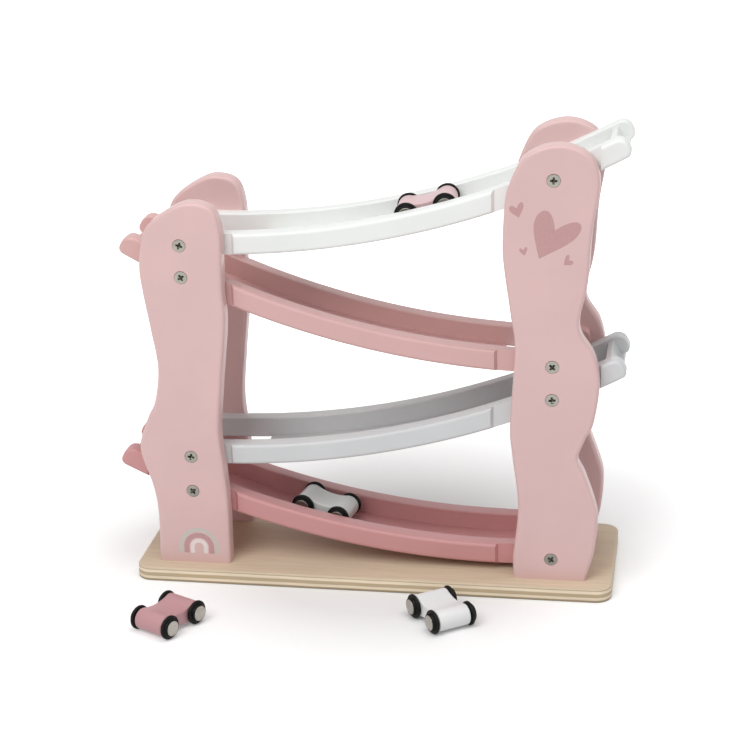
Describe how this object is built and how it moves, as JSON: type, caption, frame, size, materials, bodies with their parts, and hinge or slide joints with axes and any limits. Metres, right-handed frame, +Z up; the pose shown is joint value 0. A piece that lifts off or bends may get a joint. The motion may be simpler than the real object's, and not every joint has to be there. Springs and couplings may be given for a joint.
{
  "type": "click clack track toy",
  "caption": "Wooden click clack track: wavy side panels on a plywood base hold curved ramps that zigzag down, with small cars that roll, drop and flip from ramp to ramp.",
  "frame": {"origin": "centre of the underside of the base plate", "axes": "+X along the base to the taller pair of panels, +Z up, -Y to the front, where the two loose cars stand"},
  "size_m": [0.3167, 0.1829, 0.2849],
  "materials": {
    "birch_plywood": "clear matt lacquer",
    "panel_paint": "satin paint on plywood",
    "white_paint": "satin paint",
    "pink_paint": "satin paint",
    "grey_paint": "satin paint",
    "rose_paint": "satin paint",
    "pale_pink_paint": "satin paint",
    "pale_grey_paint": "satin paint",
    "car_white_paint": "satin paint",
    "car_rose_paint": "satin paint",
    "screw_steel": "zinc plated",
    "axle_steel": "bright",
    "disc_metal": "satin",
    "black_rubber": "satin"
  },
  "bodies": {
    "track": {"base_plate": "birch_plywood", "base_screws": "screw_steel", "left_front_panel": "panel_paint", "left_back_panel": "panel_paint", "right_front_panel": "panel_paint", "right_back_panel": "panel_paint", "front_panel_screws": "screw_steel", "back_panel_screws": "screw_steel", "first_ramp_front_rail": "white_paint", "first_ramp_back_rail": "white_paint", "first_ramp_floor": "white_paint", "first_ramp_wall": "white_paint", "second_ramp_front_rail": "pink_paint", "second_ramp_back_rail": "pink_paint", "second_ramp_floor": "pink_paint", "second_ramp_wall": "pink_paint", "third_ramp_front_rail": "grey_paint", "third_ramp_back_rail": "grey_paint", "third_ramp_floor": "grey_paint", "third_ramp_wall": "grey_paint", "last_ramp_front_rail": "rose_paint", "last_ramp_back_rail": "rose_paint", "last_ramp_floor": "rose_paint", "last_ramp_wall": "rose_paint", "last_ramp_stop": "rose_paint"},
    "pink_car": {"pink_car_body": "pale_pink_paint"},
    "pink_car_low_wheels": {"pink_car_low_axle": "axle_steel", "pink_car_low_discs": "disc_metal", "pink_car_low_tyres": "black_rubber"},
    "pink_car_high_wheels": {"pink_car_high_axle": "axle_steel", "pink_car_high_discs": "disc_metal", "pink_car_high_tyres": "black_rubber"},
    "grey_car": {"grey_car_body": "pale_grey_paint"},
    "grey_car_low_wheels": {"grey_car_low_axle": "axle_steel", "grey_car_low_discs": "disc_metal", "grey_car_low_tyres": "black_rubber"},
    "grey_car_high_wheels": {"grey_car_high_axle": "axle_steel", "grey_car_high_discs": "disc_metal", "grey_car_high_tyres": "black_rubber"},
    "white_car": {"white_car_body": "car_white_paint"},
    "white_car_nose_wheels": {"white_car_nose_axle": "axle_steel", "white_car_nose_discs": "disc_metal", "white_car_nose_tyres": "black_rubber"},
    "white_car_tail_wheels": {"white_car_tail_axle": "axle_steel", "white_car_tail_discs": "disc_metal", "white_car_tail_tyres": "black_rubber"},
    "rose_car": {"rose_car_body": "car_rose_paint"},
    "rose_car_nose_wheels": {"rose_car_nose_axle": "axle_steel", "rose_car_nose_discs": "disc_metal", "rose_car_nose_tyres": "black_rubber"},
    "rose_car_tail_wheels": {"rose_car_tail_axle": "axle_steel", "rose_car_tail_discs": "disc_metal", "rose_car_tail_tyres": "black_rubber"}
  },
  "joints": [
    {"name": "pink_car_run", "type": "hinge", "parent": "track", "child": "pink_car", "pos_m": [-0.101, 0, 0.7471], "axis": [0, 1, 0], "range_deg": [-10.55, 9.8]},
    {"name": "pink_car_low_wheels_spin", "type": "hinge", "parent": "pink_car", "child": "pink_car_low_wheels", "pos_m": [0.02136, -0.00074, 0.23311], "axis": [-0.059, 0.9981, -0.0155], "continuous": true},
    {"name": "pink_car_high_wheels_spin", "type": "hinge", "parent": "pink_car", "child": "pink_car_high_wheels", "pos_m": [0.04472, 0.00074, 0.23924], "axis": [-0.059, 0.9981, -0.0155], "continuous": true},
    {"name": "grey_car_run", "type": "hinge", "parent": "track", "child": "grey_car", "pos_m": [0.0808, 0, 0.5509], "axis": [0, -1, 0], "range_deg": [-10.6, 14.6]},
    {"name": "grey_car_low_wheels_spin", "type": "hinge", "parent": "grey_car", "child": "grey_car_low_wheels", "pos_m": [-0.02321, -0.00189, 0.03289], "axis": [0.1526, 0.9877, -0.0343], "continuous": true},
    {"name": "grey_car_high_wheels_spin", "type": "hinge", "parent": "grey_car", "child": "grey_car_high_wheels", "pos_m": [-0.04654, 0.00189, 0.03813], "axis": [0.1526, 0.9877, -0.0343], "continuous": true},
    {"name": "white_car_run", "type": "slide", "parent": "track", "child": "white_car", "axis": [0.5878, -0.809, 0], "range_m": [-0.005, 0.08]},
    {"name": "white_car_nose_wheels_spin", "type": "hinge", "parent": "white_car", "child": "white_car_nose_wheels", "pos_m": [0.05711, -0.09369, 0.0074], "axis": [0.809, 0.5878, 0], "continuous": true},
    {"name": "white_car_tail_wheels_spin", "type": "hinge", "parent": "white_car", "child": "white_car_tail_wheels", "pos_m": [0.04289, -0.07411, 0.0074], "axis": [0.809, 0.5878, 0], "continuous": true},
    {"name": "rose_car_run", "type": "slide", "parent": "track", "child": "rose_car", "axis": [0.4633, 0.8862, 0], "range_m": [-0.08, 0.03]},
    {"name": "rose_car_nose_wheels_spin", "type": "hinge", "parent": "rose_car", "child": "rose_car_nose_wheels", "pos_m": [-0.10709, -0.09898, 0.0074], "axis": [-0.8862, 0.4633, 0], "continuous": true},
    {"name": "rose_car_tail_wheels_spin", "type": "hinge", "parent": "rose_car", "child": "rose_car_tail_wheels", "pos_m": [-0.11831, -0.12042, 0.0074], "axis": [-0.8862, 0.4633, 0], "continuous": true}
  ]
}
